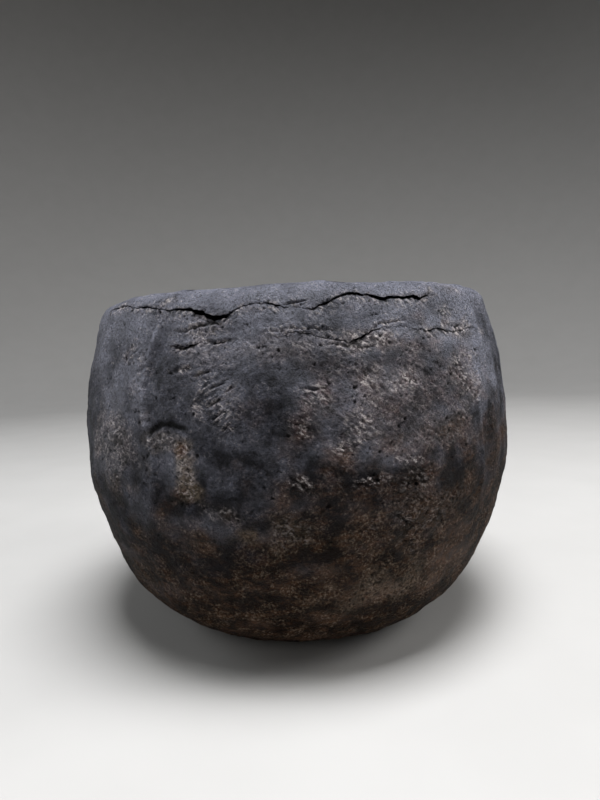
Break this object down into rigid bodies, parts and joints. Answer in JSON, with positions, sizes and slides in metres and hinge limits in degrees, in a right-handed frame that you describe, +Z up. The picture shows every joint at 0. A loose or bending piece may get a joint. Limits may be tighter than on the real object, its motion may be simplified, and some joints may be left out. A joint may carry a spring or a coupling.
{
  "type": "hand-built black clay pot",
  "caption": "Wide round-bellied pot of smoked black clay with a narrow flat foot, an open top and a thick folded rim, hand-built from a bowl, slabs and strips.",
  "frame": {"origin": "middle of the flat foot, on the surface the pot stands on", "axes": "+Z up along the pot's axis towards the open top; -Y towards the front"},
  "size_m": [0.35, 0.35, 0.26],
  "materials": {
    "brown_clay": "matt, unglazed, fine sandy grain with horizontal smoothing strokes",
    "smoked_clay": "matt, unglazed, smoked blue-black, pitted and finger-smoothed",
    "rubbed_clay": "matt, unglazed, rubbed paler along the rim"
  },
  "bodies": {
    "root": {"base_disc": "brown_clay", "lower_bowl": "brown_clay", "front_wall_slab": "smoked_clay", "right_wall_slab": "smoked_clay", "back_wall_slab": "smoked_clay", "left_wall_slab": "smoked_clay", "collar_band": "smoked_clay", "rim_strip_front_left": "rubbed_clay", "rim_strip_front_right": "rubbed_clay", "rim_strip_right": "rubbed_clay", "rim_strip_left": "rubbed_clay"}
  },
  "joints": []
}
